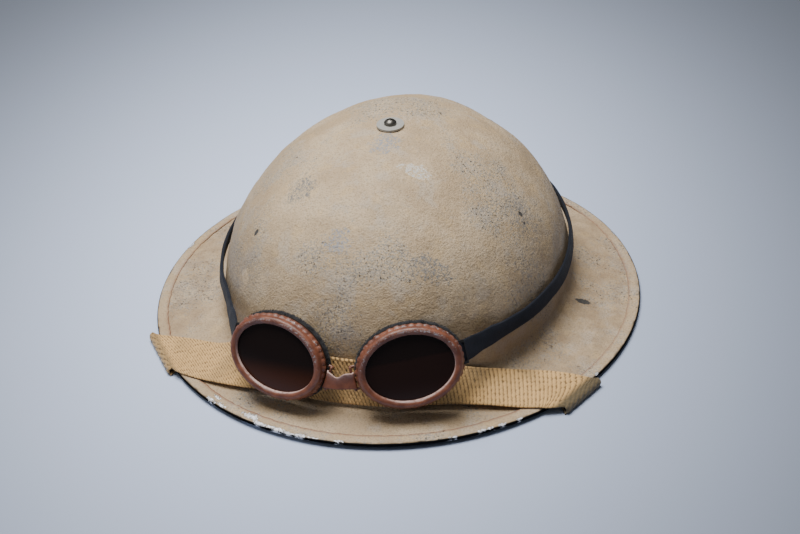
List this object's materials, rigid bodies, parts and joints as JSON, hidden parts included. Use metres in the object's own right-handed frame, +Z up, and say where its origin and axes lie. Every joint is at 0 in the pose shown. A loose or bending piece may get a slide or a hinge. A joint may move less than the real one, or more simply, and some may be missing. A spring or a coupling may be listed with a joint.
{
  "type": "steel helmet with goggles",
  "caption": "Wide-brimmed pressed-steel helmet with an oval domed crown, a webbing chinstrap laid over the brim's front and dust goggles on an elastic headband.",
  "frame": {"origin": "on the surface the helmet stands on, under the middle of the brim's outline", "axes": "+Z up through the crown, -Y towards the front with the goggles, +X towards the viewer's right when seen from the front"},
  "size_m": [0.292, 0.302, 0.1193],
  "materials": {
    "sand_paint": "textured, chipped",
    "rim_paint": "textured, worn at the edge",
    "weathered_steel": "dull, weathered",
    "bright_steel": "satin",
    "liner_web": "woven",
    "band_fibre": "fibre, matt",
    "sweat_leather": "soft leather",
    "crown_pad_rubber": "matt",
    "buffer_rubber": "matt",
    "lace_cotton": "braided",
    "lug_paint": "matt",
    "webbing": "twill webbing",
    "goggle_paint": "worn",
    "cup_paint": "satin black",
    "tinted_lens": "tinted",
    "cushion_plush": "plush",
    "elastic": "elastic webbing"
  },
  "bodies": {
    "helmet": {"shell": "sand_paint", "rim_band": "rim_paint", "crown_screw": "weathered_steel", "crown_washer": "weathered_steel", "crown_pad": "crown_pad_rubber", "crown_inner_washer": "bright_steel", "crown_nut": "bright_steel", "liner_strap_long": "liner_web", "liner_strap_cross": "liner_web", "liner_band": "band_fibre", "sweatband": "sweat_leather", "liner_tongues": "sweat_leather", "drawlace": "lace_cotton", "rubber_buffers": "buffer_rubber", "liner_rivets": "bright_steel", "lug_left": "lug_paint", "lug_right": "lug_paint", "chinstrap": "webbing"},
    "strap_loop_left": {"strap_loop_left": "bright_steel"},
    "strap_loop_right": {"strap_loop_right": "bright_steel"},
    "goggles": {"nose_bridge": "goggle_paint", "headband_left": "elastic", "headband_right": "elastic"},
    "eyepiece_left": {"goggle_rim_left": "goggle_paint", "lens_left": "tinted_lens", "lens_retainer_left": "bright_steel", "eyecup_left": "cup_paint", "face_cushion_left": "cushion_plush", "bridge_wire_left": "goggle_paint"},
    "eyepiece_right": {"goggle_rim_right": "goggle_paint", "lens_right": "tinted_lens", "lens_retainer_right": "bright_steel", "eyecup_right": "cup_paint", "face_cushion_right": "cushion_plush", "bridge_wire_right": "goggle_paint"},
    "headband_slider": {"headband_slider": "weathered_steel"}
  },
  "joints": [
    {"name": "goggles_lift", "type": "slide", "parent": "helmet", "child": "goggles", "axis": [0, 0, 1], "range_m": [0, 0.15]},
    {"name": "eyepiece_left_turn", "type": "hinge", "parent": "goggles", "child": "eyepiece_left", "pos_m": [-0.00636, -0.12817, 0.02927], "axis": [0.245, 0.2891, 0.9254], "range_deg": [0, 25]},
    {"name": "eyepiece_right_turn", "type": "hinge", "parent": "goggles", "child": "eyepiece_right", "pos_m": [0.00762, -0.1283, 0.03097], "axis": [0.2626, -0.2732, -0.9254], "range_deg": [0, 25]},
    {"name": "slider_slide", "type": "slide", "parent": "goggles", "child": "headband_slider", "axis": [1, 0, 0], "range_m": [-0.003, 0.003]},
    {"name": "strap_loop_left_turn", "type": "hinge", "parent": "helmet", "child": "strap_loop_left", "pos_m": [-0.082, -0.012, 0.005], "axis": [0.9026, -0.4305, 0], "range_deg": [-4, 4]},
    {"name": "strap_loop_right_turn", "type": "hinge", "parent": "helmet", "child": "strap_loop_right", "pos_m": [0.082, -0.012, 0.005], "axis": [0.9026, 0.4305, 0], "range_deg": [-4, 4]}
  ]
}
